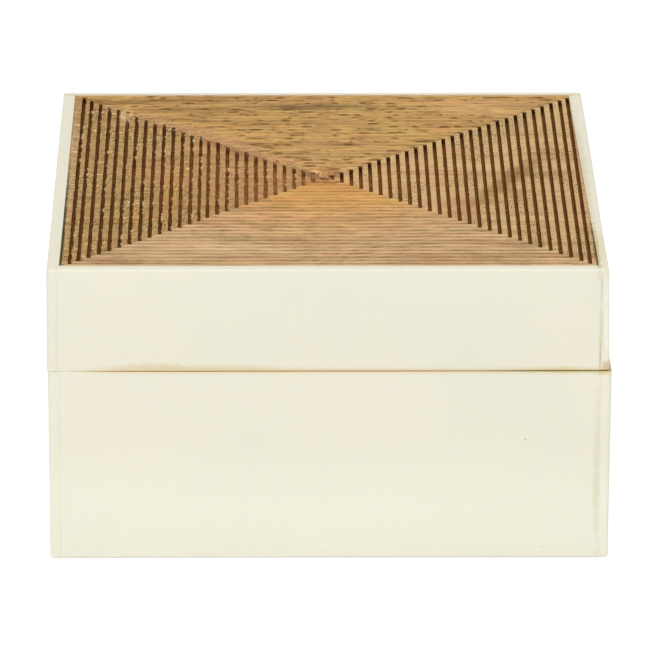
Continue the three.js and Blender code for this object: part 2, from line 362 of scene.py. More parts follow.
# Glue and dust marks on the resin: colour, cover, centre, half lengths and turn
RESIN_MARKS = (
    # The lid's right end is a little lighter
    ("#FFFEEE", 0.7, (100.2, FRONT_FACE_Y, 92), (2.4, 4, 26), 0),
    # Painted warm glow of light through the seam and the resin, above the seam at the left of the front and
    # at its right end
    ("#DFC695", 0.5, (-63, FRONT_FACE_Y, 74.5), (22, 4, 2.2), 0),
    ("#E2CD98", 0.5, (-38, FRONT_FACE_Y, 74.3), (30, 4, 1.8), 0),
    ("#E0D28E", 0.5, (83, FRONT_FACE_Y, 73.4), (20, 4, 2.0), 0),
    ("#D8B47C", 0.7, (99.6, FRONT_FACE_Y, 74.6), (3.4, 4, 3.2), 0),
    ("#E6D898", 0.6, (99.2, FRONT_FACE_Y, 72.2), (5, 4, 1.6), 0),
    # Dust in the butt joints at the front's right end
    ("#B9AE86", 0.35, (97.5, FRONT_FACE_Y, 105), (0.5, 3, 7), 0),
    ("#9C8C5C", 0.6, (97.4, FRONT_FACE_Y, 78), (0.4, 3, 9), 0),
    ("#D9D8A6", 0.5, (97.6, FRONT_FACE_Y, 88), (1.3, 3, 15), 0),
    ("#DCD9B4", 0.45, (96.8, FRONT_FACE_Y, 35), (1.8, 3, 40), 0),
    # Along the board: painted shade of the gap at the left, glue that is yellow at the right and more to the
    # front, and tan behind
    ("#CDB98A", 0.6, (-96.3, -30, 112), (0.7, 75, 6), 0),
    ("#D4BE92", 0.6, (96.2, 10, 112), (3.0, 110, 5), 0),
    ("#DDD3A0", 0.65, (98.3, -78, 112), (2.6, 30, 6), 0),
    ("#B89C5C", 0.8, (96.5, -78, 112), (1.5, 34, 5), 0),
    ("#D8BFA0", 0.75, (0, 97.9, 112), (400, 1.3, 3), 0),
    # A nick and a scuff low on the front
    ("#B7A57C", 0.7, (70.9, FRONT_FACE_Y, 46.6), (0.5, 3, 0.4), 0),
    ("#D8D0B4", 0.5, (78.5, FRONT_FACE_Y, 4.6), (2.5, 3, 0.3), 0),
)


def cast_polyester_resin():
    """Polyester resin, cast in sheets and sanded to a satin. The eye sees an even cream that is slightly waxy
    in strong light, with faint clouds, and brown at the joints. Painted light lies on it too: a warm painted
    glow along the seam, a foot painted lighter, and painted shade by the board's left edge."""
    material, tree, place, pattern = new_material("cast polyester resin", {
        "clouds": ((60, 60, 40), 0, 2.0), "haze": ((5, 5, 5), 0, 4.0), "swell": ((24, 24, 24), 0, 1.0),
    })
    x, _, z = add(tree, "ShaderNodeSeparateXYZ", {0: place})
    colour = lay_over(tree, "#EFECDA", "#F2EEDB", pattern["clouds"], 0.35, 0.65)
    # The base is painted a little lighter to its foot, painted light from the floor, and the lid's sanded
    # upper edges are yellower
    for low, high, cover, hue in ((52.0, 14.0, 0.75, "#F9F7E5"), (111.3, 112.0, 0.6, "#E6E0C4")):
        colour = lay_over(tree, colour, hue, z, low, high, cover, interpolation_type="SMOOTHSTEP")
    colour = lay_marks(tree, place, colour, RESIN_MARKS)
    # Along the seam the resin is painted yellower, a painted glow of light through the seam, and its edges
    # there are painted tan, not at the left end of the front and most at its right end
    above = add(tree, "ShaderNodeMath", {0: z, 1: GLUE_LINE_Z}, operation="SUBTRACT")[0]
    above = add(tree, "ShaderNodeMath", {0: above}, operation="ABSOLUTE")[0]
    for reach, cover, left, right in ((1.7, 0.5, "#DFC586", "#D2BC6C"), (0.4, 0.8, "#D2A95A", "#9A7620")):
        most = {"Value": x, "From Min": -96.0, "From Max": -72.0, "To Max": cover}
        most = add(tree, "ShaderNodeMapRange", most)[0]
        edge = {"Value": above, "From Min": 0.14, "From Max": reach, "To Min": most, "To Max": 0.0}
        edge = add(tree, "ShaderNodeMapRange", edge)[0]
        seam_glow_and_tan = lay_over(tree, left, right, x, 55.0, 75.0)
        colour = add(tree, "ShaderNodeMix", {0: edge, 6: colour, 7: seam_glow_and_tan}, data_type="RGBA")[2]
    satin = {"Value": pattern["haze"], "From Min": 0.3, "From Max": 0.7, "To Min": 0.3, "To Max": 0.38}
    satin = add(tree, "ShaderNodeMapRange", satin)[0]
    swell = {"Height": pattern["swell"], "Distance": 0.02 * MM}
    surface = add(tree, "ShaderNodeBsdfPrincipled", {
        "Base Color": colour, "Roughness": satin, "IOR": 1.55,
        "Subsurface Weight": 0.12, "Subsurface Radius": (1.0, 0.8, 0.5), "Subsurface Scale": 1.5 * MM,
        "Normal": add(tree, "ShaderNodeBump", swell)[0],
    })
    add(tree, "ShaderNodeOutputMaterial", {"Surface": surface["BSDF"]})
    return material


def rib_colour(tree, place, out, pattern, wood, streak, pores, specks, hatching, marks):
    """The colour of the ribs. It changes with the distance out from the centre. Bands, pores and
    pore ends lie on it, then marks, and last torn fibres that show as pale flecks."""
    colour = add(tree, "ShaderNodeMix", {0: out, 6: wood[0], 7: wood[1]}, data_type="RGBA")[2]
    for what, low, high, cover, hue in (
        ("bands", 0.48, 0.72, 0.5, streak), ("pores", 0.53, 0.64, pores, streak),
        ("specks", 0.55, 0.62, specks, "#6E4A26"),
    ):
        colour = lay_over(tree, colour, hue, pattern[what], low, high, cover, interpolation_type="SMOOTHSTEP")
    colour = lay_marks(tree, place, colour, marks)
    return lay_over(tree, colour, "#DEC292", pattern["hatching"], 0.6, 0.7, 1.5 * hatching)


def rib_shade(tree, out, depth, pattern, fibres, hatching, walls):
    """What the wood's colour is multiplied by. It swings about one with the fibres and the hatching, and is
    more on the upper part of the grooves' walls: painted light, which lifts the shade in the grooves."""
    shade = 1.0
    for what, swing in (("fibres", fibres), ("hatching", hatching)):
        part = {"Value": pattern[what], "From Min": 0.38, "From Max": 0.62}
        part = add(tree, "ShaderNodeMapRange", {**part, "To Min": 1 - swing, "To Max": 1 + swing})[0]
        shade = add(tree, "ShaderNodeMath", {0: shade, 1: part}, operation="MULTIPLY")[0]
    # The upper part of the grooves' walls is painted lighter, painted light that lifts the shade in the
    # grooves
    cut = {"Value": out, "To Min": 1 + walls[0], "To Max": 1 + walls[1]}
    cut = add(tree, "ShaderNodeMapRange", cut)[0]
    cut = {"Value": depth, "From Min": 0.06, "From Max": 0.25, "To Min": 1.0, "To Max": cut}
    cut = add(tree, "ShaderNodeMapRange", cut)[0]
    return add(tree, "ShaderNodeMath", {0: shade, 1: cut}, operation="MULTIPLY")[0]


def groove_stain(tree, x, y, out, depth, pattern, stain, starts, olive):
    """How far the grooves' stain covers a place, and its colour. It starts deeper in some places than in
    others. Where the grooves end at the two diagonals behind the centre, it is darkest and reaches further
    up: that is painted shade at the grooves' ends. It has olive and red patches, and the cutter's chatter
    shows in it."""
    start = {"Value": pattern["stain edge"], "From Min": 0.36, "From Max": 0.64}
    start = add(tree, "ShaderNodeMapRange", {**start, "To Min": starts[0], "To Max": starts[1]})[0]
    side = add(tree, "ShaderNodeMath", {0: x, 1: CARVING_CENTRE[0]}, operation="SUBTRACT")[0]
    side = add(tree, "ShaderNodeMath", {0: side}, operation="ABSOLUTE")[0]
    to_diagonal = add(tree, "ShaderNodeMath", {0: side, 1: y}, operation="SUBTRACT")[0]
    to_diagonal = add(tree, "ShaderNodeMath", {0: to_diagonal}, operation="ABSOLUTE")[0]
    # Near the diagonals behind the centre the stain starts higher: painted shade at the grooves' ends
    mitre = {"Value": to_diagonal, "From Min": 1.4, "From Max": 2.6, "To Min": 0.1, "To Max": 1.0}
    mitre = add(tree, "ShaderNodeMapRange", mitre)[0]
    start = add(tree, "ShaderNodeMath", {0: start, 1: mitre}, operation="MULTIPLY")[0]
    below = add(tree, "ShaderNodeMath", {0: depth, 1: start}, operation="SUBTRACT")[0]
    stained = add(tree, "ShaderNodeMapRange", {"Value": below, "From Max": 0.45, "To Max": 0.97})[0]
    # There it also turns dark maroon, painted shade at the grooves' ends
    near = {"Value": to_diagonal, "From Min": 2.0, "From Max": 9.0, "To Min": 0.65, "To Max": 0.0}
    near = add(tree, "ShaderNodeMapRange", near)[0]
    dark = add(tree, "ShaderNodeMix", {0: out, 6: stain[0], 7: stain[1]}, data_type="RGBA")[2]
    dark = add(tree, "ShaderNodeMix", {0: near, 6: dark, 7: "#421608"}, data_type="RGBA")[2]
    for low, high, hue in ((0.5, 0.62, "#56501E"), (0.48, 0.38, "#6A3018")):
        dark = lay_over(tree, dark, hue, pattern["patches"], low, high, olive)
    chatter = {"Value": pattern["chatter"], "From Min": 0.38, "From Max": 0.62}
    chatter = add(tree, "ShaderNodeMapRange", {**chatter, "To Min": 0.75, "To Max": 1.25})[0]
    dark = add(tree, "ShaderNodeHueSaturation", {"Color": dark, "Value": chatter})[0]
    return stained, dark


def mango_wood(
    name, wood, streak, stain, starts, pores=0.4, specks=0.0, fibres=0.16, hatching=0.0, olive=0.0,
    walls=(0.0, 0.0), worn_centre=0.2, marks=(),
):
    """Mango wood, carved and dry waxed. The eye sees bands of colour and long fibres that run
    along X, short dark pores in them, and grooves left dark by the cutter. Ribs that cross the
    grain show the ends of its pores as specks, and hatching where they tore.

    Wood and stain are each a pair of colours, for near the centre and for far from it, and walls
    says likewise how much paler the grooves' walls are. Starts is the depth at which the grooves
    turn dark, at least and at most. Pores, specks, fibres, hatching and olive say how strong each
    of these is, and worn_centre how much of the specks and hatching is left near the centre."""
    material, tree, place, pattern = new_material(name, {
        "bands": ((80, 7, 30), 0, 4.0), "fibres": ((14, 1.0, 3), 0, 3.0), "pores": ((6, 1.0, 3), 0, 2.0),
        # Pore ends are finer than this. They are drawn as coarse as they need to be to show.
        "specks": ((0.55, 1.3, 1), 0, 1.0), "hatching": ((3.0, 0.5, 2), 66, 2.0),
        "stain edge": ((8, 1.6, 40), 0, 2.0), "chatter": ((1.2, 1.2, 3), 0, 2.0),
        "patches": ((16, 16, 60), 0, 2.0), "tints": ((34, 7, 60), 0, 3.0),
    }, wander=16)
    x, y, z = add(tree, "ShaderNodeSeparateXYZ", {0: place})
    # The distance out from the carving's centre, where 1 is far out. Its height doesn't count.
    out = {"Vector": place, "Location": (*CARVING_CENTRE, 0), "Scale": (FAR_OUT, FAR_OUT, 1e6)}
    out = add(tree, "ShaderNodeMapping", out, vector_type="TEXTURE")[0]
    out = add(tree, "ShaderNodeVectorMath", {0: out}, operation="LENGTH")["Value"]
    # Pores are open and fibres torn in patches, and mostly less so near the centre
    most = {"Value": out, "From Min": 0.35, "From Max": 0.8, "To Min": worn_centre, "To Max": 1.15}
    most = add(tree, "ShaderNodeMapRange", most)[0]
    patchy = {"Value": pattern["patches"], "From Min": 0.42, "From Max": 0.6, "To Min": 0.2, "To Max": most}
    patchy = add(tree, "ShaderNodeMapRange", patchy)[0]
    for what in ("specks", "hatching"):
        swing = add(tree, "ShaderNodeMath", {0: pattern[what], 1: 0.5}, operation="SUBTRACT")[0]
        swing = {0: swing, 1: patchy, 2: 0.5}
        pattern[what] = add(tree, "ShaderNodeMath", swing, operation="MULTIPLY_ADD")[0]
    # Broken wood counts as less deep than it is, so that it is neither stained nor given the painted light of
    # the grooves' walls
    depth = add(tree, "ShaderNodeMath", {0: PANEL_TOP, 1: z}, operation="SUBTRACT")[0]
    broken = add(tree, "ShaderNodeAttribute", {}, attribute_name="chipped")["Fac"]
    depth = add(tree, "ShaderNodeMath", {0: broken, 1: -0.6, 2: depth}, operation="MULTIPLY_ADD")[0]

    colour = rib_colour(tree, place, out, pattern, wood, streak, pores, specks, hatching, marks)
    shade = rib_shade(tree, out, depth, pattern, fibres, hatching, walls)
    # The wood runs from pinkish to olive
    tint = {"Value": pattern["tints"], "From Min": 0.35, "From Max": 0.65, "To Min": 0.492, "To Max": 0.508}
    tint = add(tree, "ShaderNodeMapRange", tint)[0]
    colour = add(tree, "ShaderNodeHueSaturation", {"Color": colour, "Hue": tint, "Value": shade})[0]
    stained, dark = groove_stain(tree, x, y, out, depth, pattern, stain, starts, olive)
    colour = add(tree, "ShaderNodeMix", {0: stained, 6: colour, 7: dark}, data_type="RGBA")[2]
    # Torn wood is pale and fresh
    torn = add(tree, "ShaderNodeAttribute", {}, attribute_name="torn")["Fac"]
    fresh = add(tree, "ShaderNodeHueSaturation", {"Color": "#E0C08F", "Value": shade})[0]
    colour = add(tree, "ShaderNodeMix", {0: torn, 6: colour, 7: fresh}, data_type="RGBA")[2]
    waxed = {"Value": pattern["fibres"], "From Min": 0.3, "From Max": 0.7, "To Min": 0.7, "To Max": 0.85}
    relief = {0: pattern["hatching"], 1: 2 * hatching, 2: pattern["fibres"]}
    relief = add(tree, "ShaderNodeMath", relief, operation="MULTIPLY_ADD")[0]
    surface = add(tree, "ShaderNodeBsdfPrincipled", {
        "Base Color": colour, "Roughness": add(tree, "ShaderNodeMapRange", waxed)[0],
        "IOR": 1.5, "Specular IOR Level": 0.05,
        "Normal": add(tree, "ShaderNodeBump", {"Height": relief, "Distance": 0.12 * MM})[0],
    })
    add(tree, "ShaderNodeOutputMaterial", {"Surface": surface["BSDF"]})
    return material


def medium_density_fibreboard():
    """Bare fibreboard, pressed and sawn. The eye sees dry matt brown with fine darker flecks."""
    material, tree, _, pattern = new_material("medium density fibreboard", {
        "fibres": ((1.6, 0.5, 0.5), 0, 4.0), "flecks": ((0.7, 0.7, 0.7), 0, 2.0),
    })
    colour = lay_over(tree, "#A98158", "#8F6A45", pattern["fibres"], 0.35, 0.65)
    colour = lay_over(tree, colour, "#5E432B", pattern["flecks"], 0.62, 0.7, 0.6)
    surface = add(tree, "ShaderNodeBsdfPrincipled", {
        "Base Color": colour, "Roughness": 0.85,
        "Normal": add(tree, "ShaderNodeBump", {"Height": pattern["fibres"], "Distance": 0.08 * MM})[0],
    })
    add(tree, "ShaderNodeOutputMaterial", {"Surface": surface["BSDF"]})
    return material


def pressed_wool_felt():
    """Black wool felt, pressed. The eye sees matted hairs that catch the light, and pale lint."""
    material, tree, _, pattern = new_material("pressed wool felt", {
        # Hairs are finer than this. They are drawn as coarse as they need to be to show.
        "hairs": ((2.2, 0.35, 2.2), 35, 4.0), "crossing": ((0.35, 2.2, 0.35), -17, 4.0),
        "lint": ((0.8, 0.8, 0.8), 0, 0.0),
    })
    mat = {0: pattern["hairs"], 1: pattern["crossing"]}
    mat = add(tree, "ShaderNodeMath", mat, operation="ADD")[0]
    colour = lay_over(tree, "#141212", "#33302F", mat, 0.76, 1.24)
    colour = lay_over(tree, colour, "#8A8480", pattern["lint"], 0.78, 0.84, 0.5)
    surface = add(tree, "ShaderNodeBsdfPrincipled", {
        "Base Color": colour, "Roughness": 0.95, "Sheen Weight": 0.35, "Sheen Roughness": 0.5,
        "Normal": add(tree, "ShaderNodeBump", {"Height": mat, "Distance": 0.12 * MM})[0],
    })
    add(tree, "ShaderNodeOutputMaterial", {"Surface": surface["BSDF"]})
    return material


def rolled_brass():
    """Brass strip, rolled and lightly tarnished. The eye sees fine lines and duller clouds."""
    material, tree, _, pattern = new_material("rolled brass", {
        "tarnish": ((5, 5, 5), 0, 4.0), "lines": ((8, 0.12, 0.12), 0, 2.0),
    })
    colour = lay_over(tree, "#D9B46A", "#A07C42", pattern["tarnish"], 0.42, 0.7)
    rolled = {"Value": pattern["lines"], "From Min": 0.3, "From Max": 0.7, "To Min": 0.22, "To Max": 0.42}
    surface = add(tree, "ShaderNodeBsdfPrincipled", {
        "Base Color": colour, "Metallic": 1.0, "Roughness": add(tree, "ShaderNodeMapRange", rolled)[0],
        "Normal": add(tree, "ShaderNodeBump", {"Height": pattern["lines"], "Distance": 0.01 * MM})[0],
    })
    add(tree, "ShaderNodeOutputMaterial", {"Surface": surface["BSDF"]})
    return material


def groove_rows():
    """The board's section from the centre outwards, nine rows to each groove with the rib outside
    it. Gives each row's distance from the centre, its depth, and how far it follows the wander
    of the groove's inner edge and of its outer one."""
    grooves = FIRST_GROOVE + GROOVE_PITCH * np.arange(GROOVE_COUNT - 1)
    grooves = np.append(grooves, OUTERMOST_GROOVE)
    half = GROOVE_WIDTH / 2
    # Shoulder, edge, arris and foot of the inner wall. The outer wall is its mirror image.
    across = np.array([-half - RIB_SHOULDER, -half, -half + 0.04, -half + WALL_LEAN])
    depth = np.array([0, GROOVE_ARRIS, 0.4, GROOVE_DEPTH])
    follow = np.array([0.25, 1, 0.9, 0])
    next_rib = np.append(grooves[1:], 2 * PANEL_HALF - OUTERMOST_GROOVE)
    rib_middle = (grooves + next_rib)[:, None] / 2
    distance = [grooves[:, None] + across, grooves[:, None] - across[::-1], rib_middle]
    distance = np.concatenate(distance, axis=1)
    depth = np.concatenate([depth, depth[::-1], [0]])
    inner = np.concatenate([follow, np.zeros(5)])
    outer = np.concatenate([np.zeros(4), follow[::-1], [0]])
    return distance.ravel(), *(np.tile(row, GROOVE_COUNT) for row in (depth, inner, outer))


def disc(x, y, place, whole=0.7, gone=1.3):
    """One in a stretched disc and nought outside it. It is whole up to one share of its half
    lengths and gone at another, and falls between them."""
    middle_x, middle_y, half_x, half_y = place
    return smoothstep(gone, whole, np.hypot((x - middle_x) / half_x, (y - middle_y) / half_y))


def chipped(x, y):
    """How far the wood has broken out at a place measured from the centre of the carving, and how
    pale it is there, both from 0 to 1: along the left diagonal behind the centre, in a patch near
    its far end, and in the smallest rings. A soft band or disc is multiplied by noise."""
    ragged = rough(x / 2.6, y / 2.6, 40)
    off_strip = np.abs((x + y) / math.sqrt(2) - STRIP_BEHIND) + 1.2 * rough(x / 5, y / 5, 45)
    strip = smoothstep(STRIP_GONE, STRIP_WHOLE, off_strip) * (x < 0) * (y > 0)
    strip = strip * smoothstep(-0.5, 0.1, ragged) * smoothstep(-95, -80, x)
    patch = disc(x, y, FAR_PATCH) * smoothstep(-0.6, 0.1, ragged)
    closed = disc(x, y, CLOSED_GROOVE)
    middle = disc(x, y, SMALLEST_RINGS, 0.6, 1.2) * smoothstep(-0.5, 0.2, ragged)
    chips = np.clip(0.95 * strip + patch + 0.8 * closed + 0.75 * middle, 0, 1)
    splinters = smoothstep(0.1, 0.5, rough(x / 0.8, y / 1.6, 47))
    pale = np.clip(0.25 * strip + 0.5 * patch + 0.4 * closed + 0.6 * middle * splinters, 0, 1)
    return chips, pale * chips


def drift(x, y):
    """How far along X the carver's lines lie off their even places, in millimetres."""
    left = sum(step * smoothstep(start, end, x) for step, start, end in LEFT_STEPS)
    return left - (RIGHT_DRIFT - RIGHT_DRIFT_GROWTH * y) * np.maximum(x, 0) / RIGHT_DRIFT_LENGTH


def wedge(px, py, pz):
    """The points and faces of a carved field with its surface closed. A skirt hangs from the last
    row to the board's underside, one fan closes the surface at the centre and another one is the
    underside, and a cut face stands below each diagonal."""
    rows, columns = pz.shape
    skirt = np.stack([px[-1], py[-1], np.full(columns, PANEL_LOW[2])], -1)
    middle = [[*CARVING_CENTRE, PANEL_TOP - CENTRE_DEPTH], [*CARVING_CENTRE, PANEL_LOW[2]]]
    points = np.concatenate([np.stack([px, py, pz], -1).reshape(-1, 3), skirt, middle])
    index = np.arange((rows + 1) * columns).reshape(rows + 1, columns)
    peak, foot = index.size, index.size + 1
    hub = np.ones((columns - 1, 1), int)
    fan = np.concatenate([peak * hub, index[0, :-1, None], index[0, 1:, None]], axis=1)
    under = np.concatenate([foot * hub, index[-1, 1:, None], index[-1, :-1, None]], axis=1)
    cut_faces = [np.concatenate([[peak], index[:, edge], [foot]])[None, :] for edge in (0, -1)]
    return points, [grid_quads(rows + 1, columns), fan, under, *cut_faces]


def carved_field(name, out, columns, wander, whiskers, material):
    """One of the board's four carved triangles, a surface of two parameters: the distance from the
    carving's centre, by rows, and the place along the square ring at that distance, from one
    diagonal to the next. Its height follows the grooves' section. Smooth noise, of its own for
    each ring, moves the edges of the grooves by up to the wander, and fibres as long as the
    whiskers lean in from their inner edges. On the diagonals the fields share their points.
    Outside the last groove the ring turns from the carving's square into the board's, whose side
    edges stand back."""
    out = np.array(out)
    along = np.array([-out[1], out[0]])
    distance, depth, inner, outer = groove_rows()
    last = OUTERMOST_GROOVE + GROOVE_WIDTH / 2 + RIB_SHOULDER
    inside = distance < PANEL_HALF - 2 * RIB_SHOULDER
    distance = np.append(distance[inside], [PANEL_HALF - RIB_SHOULDER, PANEL_HALF])
    depth = np.append(depth[inside], [0, RIM_DEPTH])[:, None]
    inner = np.append(inner[inside], [0, 0])[:, None]
    outer = np.append(outer[inside], [0, 0])[:, None]
    top_row = depth < 2 * GROOVE_ARRIS
    u = distance[:, None] * np.ones(columns)
    across = np.linspace(-1, 1, columns)
    place = u * across
    x = u * out[0] + place * along[0]
    y = u * out[1] + place * along[1]
    off_diagonal = smoothstep(0, 3, u - np.abs(place))

    to_board = np.clip((distance - last) / (PANEL_HALF - last), 0, 1)[:, None]
    ring = np.round((distance - FIRST_GROOVE) / GROOVE_PITCH)[:, None] * RINGS_APART
    fibres = smoothstep(0.15, 0.9, noise(place / 1.7, ring, 31))
    fibres = fibres * smoothstep(-0.4, 0.3, noise(place / 9, ring, 33))
    inner_shift = wander * rough(place / 4.5 + ring, ring, 11) + whiskers * fibres
    outer_shift = wander * rough(place / 4.5 + ring, ring + 3.1, 23) - 0.25 * whiskers * fibres
    u = u + (inner * inner_shift + outer * outer_shift) * off_diagonal

    centre = CARVING_CENTRE + (PANEL_CENTRE - CARVING_CENTRE) * to_board[..., None]
    px = centre[..., 0] + u * out[0] + place * along[0] - x / PANEL_HALF * lip_over(x, y) * to_board
    px = px + drift(x, y) * (1 - to_board)
    py = centre[..., 1] + u * out[1] + place * along[1]
    chips, pale = chipped(x, y)
    fall = depth * (1 - 0.85 * chips) + 0.4 * chips * top_row
    relief = 0.035 * rough(x / 14, y / 1.3, 61) + 0.12 * whiskers * rough(x / 1.1, y / 3, 71) * off_diagonal
    pz = np.minimum(PANEL_TOP - fall + relief * top_row, PANEL_TOP)
    torn = np.clip(pale + 0.8 * (whiskers > 0) * fibres * inner * off_diagonal, 0, 1)

    # The skirt's points and the two in the middle are neither torn nor chipped
    beyond = np.zeros(columns + 2)
    chips = chips * smoothstep(8, 14, np.hypot(x, y))
    shares = [
        (what, np.append(share.ravel(), beyond)) for what, share in (("torn", torn), ("chipped", chips))
    ]
    piece = mesh_object(name, *wedge(px, py, pz), material, sharpest_degrees=40, attributes=shares)
    stand_for(piece, "lid_carved_panel")


# The smallest rings broke out as they were cut, and are pinkish brown
CENTRE_MARK = ("#9A6840", 0.85, (-1.5, 3, PANEL_TOP), (12, 10, 20), 0)

# The ribs of the right and left fields cross the grain, those of the front and back run with it
FINE_COLUMNS = 361
PLAIN_COLUMNS = 261

carved_field("carved_panel_right", (1, 0), FINE_COLUMNS, 0.09, 0.0, mango_wood(
    "mango wood, right field", ("#DCB47E", "#D8B482"), "#9C7446", ("#9A6029", "#80521E"), (0.25, 0.55),
    pores=0.2, specks=0.85, fibres=0.09, olive=0.2, worn_centre=1.0, marks=(
        ("#8F6A3C", 0.65, (67, -6, PANEL_TOP), (52, 6.5, 20), 64),
        ("#B98058", 0.6, (69, -19, PANEL_TOP), (7, 9, 20), 0),
        ("#C98F68", 0.5, (50, -34, PANEL_TOP), (10, 24, 20), 0),
        # The outermost rib is thin and dark along the resin, and ragged with old glue at the front
        ("#8A5236", 0.4, (95.9, 40, PANEL_TOP), (0.5, 60, 20), 0),
        ("#4E4210", 0.97, (96.4, -80, PANEL_TOP), (1.2, 46, 20), 0),
        CENTRE_MARK,
    )))
carved_field("carved_panel_left", (-1, 0), FINE_COLUMNS, 0.2, 0.55, mango_wood(
    "mango wood, left field", ("#C79362", "#BE9864"), "#906B42", ("#CA8C4A", "#784C1E"), (0.25, 0.6),
    pores=0.16, specks=0.5, hatching=0.45, olive=0.45, marks=(
        ("#CB9350", 0.5, (-71, -45, PANEL_TOP), (4, 26, 20), 0),
        ("#CB9350", 0.4, (-58, -20, PANEL_TOP), (6, 45, 20), 0),
        ("#C8A87C", 0.7, (-96, 0, PANEL_TOP), (3, 110, 20), 0),
        # Painted shadow of the gap between board and resin darkens the edge along the resin, and more at the
        # front corner, where the ribs broke out at the diagonal
        ("#403C0C", 0.97, (-96.5, -62, PANEL_TOP), (1.2, 110, 20), 0),
        ("#241C06", 0.95, (-96.5, -96.8, PANEL_TOP), (2.0, 1.2, 20), 0),
        ("#A8764E", 0.7, (-40, 36, PANEL_TOP), (50, 4.5, 20), -45),
        CENTRE_MARK,
    )))
carved_field("carved_panel_front", (0, -1), PLAIN_COLUMNS, 0.14, 0.0, mango_wood(
    "mango wood, front field", ("#E6AE62", "#DAB588"), "#A67E4E", ("#9A6A36", "#8C6438"), (0.6, 1.2),
    pores=0.42, specks=0.1, walls=(0.3, 0.1), marks=(
        ("#DCA55A", 0.45, (5, -24, PANEL_TOP), (60, 18, 20), 0),
        ("#E6C498", 0.5, (-52, -80, PANEL_TOP), (44, 20, 20), 0),
        ("#966640", 0.9, (-1.5, -1, PANEL_TOP), (12, 10, 20), 0),
    )))
carved_field("carved_panel_back", (0, 1), PLAIN_COLUMNS, 0.16, 0.0, mango_wood(
    "mango wood, back field", ("#DBB074", "#CFA669"), "#6C4A20", ("#6A471E", "#5E4018"), (0.9, 1.6),
    pores=0.72, walls=(0.4, 0.4), marks=(
        CENTRE_MARK,
        ("#7F6A4C", 0.5, (-4, 84, PANEL_TOP), (34, 7, 20), 0),
        ("#D8B078", 0.75, (64, 82, PANEL_TOP), (38, 16, 20), 0),
        ("#C89C72", 0.7, (-42, 46, PANEL_TOP), (62, 5.5, 20), -45),
    )))

resin = cast_polyester_resin()
fibreboard = medium_density_fibreboard()
felt = pressed_wool_felt()
brass = rolled_brass()


def seam_gap(part, x):
    """How far the resin stands off the middle of the seam along the front, in millimetres: the gap
    is all but shut at the left, and the lid's edge rises at the right."""
    risen = SEAM_RISE * smoothstep(*RISE_BETWEEN, x) * (part == "lid")
    gap = SEAM_LEAST_GAP + SEAM_WIDER * smoothstep(*WIDER_BETWEEN, x) + risen
    return gap + SEAM_UNEVEN * noise(x / 25, 0.5, 81)


